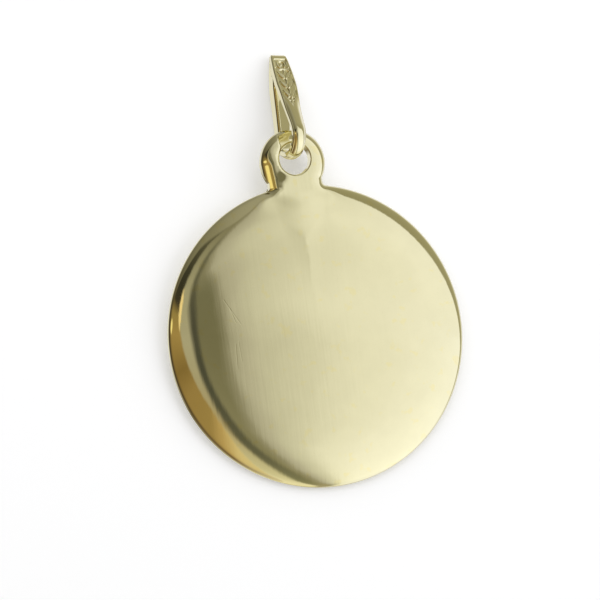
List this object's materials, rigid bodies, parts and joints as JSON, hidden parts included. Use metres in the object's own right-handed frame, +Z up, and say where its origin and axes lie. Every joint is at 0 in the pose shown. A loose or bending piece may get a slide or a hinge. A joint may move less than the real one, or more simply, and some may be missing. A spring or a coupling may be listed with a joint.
{
  "type": "disc pendant",
  "caption": "Polished gold-coloured disc pendant with a pierced lug and a drop-shaped bail with raised leaf relief.",
  "frame": {"origin": "centre of the pendant's outline, at table level", "axes": "+Y from the disc to the bail, +Z up out of the polished face"},
  "size_m": [0.018, 0.026, 0.0029],
  "materials": {
    "gold_plate": "polished gold alloy with fine wear scratches",
    "gold_bail": "polished gold alloy with raised leaf relief"
  },
  "bodies": {
    "root": {"disc_plate": "gold_plate", "bail": "gold_bail"}
  },
  "joints": []
}
